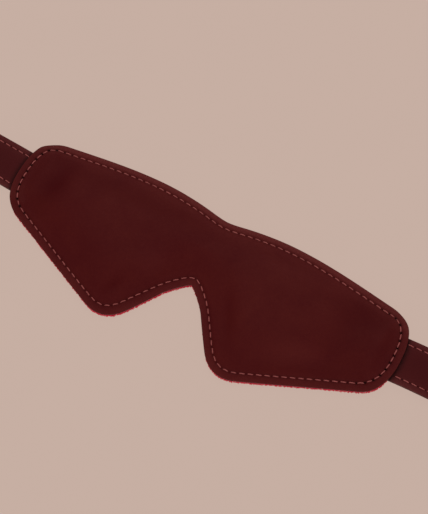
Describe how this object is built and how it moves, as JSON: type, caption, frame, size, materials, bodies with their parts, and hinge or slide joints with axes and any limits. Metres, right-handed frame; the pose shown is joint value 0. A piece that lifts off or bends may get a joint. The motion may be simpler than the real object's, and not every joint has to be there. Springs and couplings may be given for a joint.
{
  "type": "eye patch",
  "caption": "Padded leather eye cover shaped for both eyes and the nose, with a plush lining and a buckled head strap that folds round the head.",
  "frame": {"origin": "middle of the nose bridge, on the lining's back face", "axes": "+X along the mask towards the end of the hole strap, +Y towards the brow, +Z out of the leather front"},
  "size_m": [0.6787, 0.0785, 0.0087],
  "materials": {
    "front_leather": "smooth burgundy leather, soft satin",
    "strap_leather": "smooth burgundy strap leather, satin, dyed edges",
    "plush_lining": "short crimson pile",
    "foam": "soft foam, hidden inside",
    "thread": "dusty red twisted thread",
    "buckle_metal": "polished pale brass"
  },
  "bodies": {
    "mask": {"front_leather_panel": "front_leather", "foam_padding": "foam", "plush_lining": "plush_lining", "edge_seam_front_thread": "thread", "edge_seam_back_thread": "thread", "hole_strap_sewn_tab": "strap_leather", "buckle_strap_sewn_tab": "strap_leather"},
    "hole_strap_1": {"hole_strap_1_outer_ply": "strap_leather", "hole_strap_1_backing_ply": "strap_leather", "hole_strap_1_upper_thread": "thread", "hole_strap_1_lower_thread": "thread"},
    "hole_strap_2": {"hole_strap_2_outer_ply": "strap_leather", "hole_strap_2_backing_ply": "strap_leather", "hole_strap_2_upper_thread": "thread", "hole_strap_2_lower_thread": "thread"},
    "hole_strap_3": {"hole_strap_3_outer_ply": "strap_leather", "hole_strap_3_backing_ply": "strap_leather", "hole_strap_3_upper_thread": "thread", "hole_strap_3_lower_thread": "thread"},
    "hole_strap_4": {"hole_strap_4_outer_ply": "strap_leather", "hole_strap_4_backing_ply": "strap_leather", "hole_strap_4_thread": "thread"},
    "buckle_strap_1": {"buckle_strap_1_outer_ply": "strap_leather", "buckle_strap_1_backing_ply": "strap_leather", "buckle_strap_1_upper_thread": "thread", "buckle_strap_1_lower_thread": "thread"},
    "buckle_strap_2": {"buckle_strap_2_outer_ply": "strap_leather", "buckle_strap_2_backing_ply": "strap_leather", "buckle_strap_2_upper_thread": "thread", "buckle_strap_2_lower_thread": "thread", "rivet_1_post": "buckle_metal", "rivet_1_cap": "buckle_metal", "rivet_2_post": "buckle_metal", "rivet_2_cap": "buckle_metal", "fixed_keeper_loop": "strap_leather"},
    "sliding_keeper": {"sliding_keeper_loop": "strap_leather"},
    "buckle_frame": {"buckle_frame": "buckle_metal"},
    "buckle_prong": {"buckle_prong": "buckle_metal"}
  },
  "joints": [
    {"name": "hole_strap_fold", "type": "hinge", "parent": "mask", "child": "hole_strap_1", "pos_m": [0.1124, -0.00486, 0.0037], "axis": [-0.0593, 0.9982, 0], "range_deg": [-30, 85]},
    {"name": "hole_strap_bend_2", "type": "hinge", "parent": "hole_strap_1", "child": "hole_strap_2", "pos_m": [0.18487, -0.00055, 0.0012], "axis": [-0.0593, 0.9982, 0], "range_deg": [-30, 50]},
    {"name": "hole_strap_bend_3", "type": "hinge", "parent": "hole_strap_2", "child": "hole_strap_3", "pos_m": [0.25974, 0.0039, 0.0012], "axis": [-0.0593, 0.9982, 0], "range_deg": [-30, 50]},
    {"name": "hole_strap_bend_4", "type": "hinge", "parent": "hole_strap_3", "child": "hole_strap_4", "pos_m": [0.3346, 0.00834, 0.0012], "axis": [-0.0593, 0.9982, 0], "range_deg": [-30, 50]},
    {"name": "buckle_strap_fold", "type": "hinge", "parent": "mask", "child": "buckle_strap_1", "pos_m": [-0.1124, -0.00596, 0.0037], "axis": [-0.0593, -0.9982, 0], "range_deg": [-30, 85]},
    {"name": "buckle_strap_bend_2", "type": "hinge", "parent": "buckle_strap_1", "child": "buckle_strap_2", "pos_m": [-0.16989, -0.00254, 0.00275], "axis": [-0.0593, -0.9982, 0], "range_deg": [-30, 50]},
    {"name": "sliding_keeper_slide", "type": "slide", "parent": "buckle_strap_2", "child": "sliding_keeper", "axis": [0.9982, -0.0593, 0], "range_m": [0, 0.026]},
    {"name": "buckle_frame_swing", "type": "hinge", "parent": "buckle_strap_2", "child": "buckle_frame", "pos_m": [-0.24975, 0.0022, 0.00275], "axis": [0.0593, 0.9982, 0], "range_deg": [-60, 40]},
    {"name": "buckle_prong_swing", "type": "hinge", "parent": "buckle_frame", "child": "buckle_prong", "pos_m": [-0.24975, 0.0022, 0.00275], "axis": [0.0593, 0.9982, 0], "range_deg": [0, 110]}
  ]
}
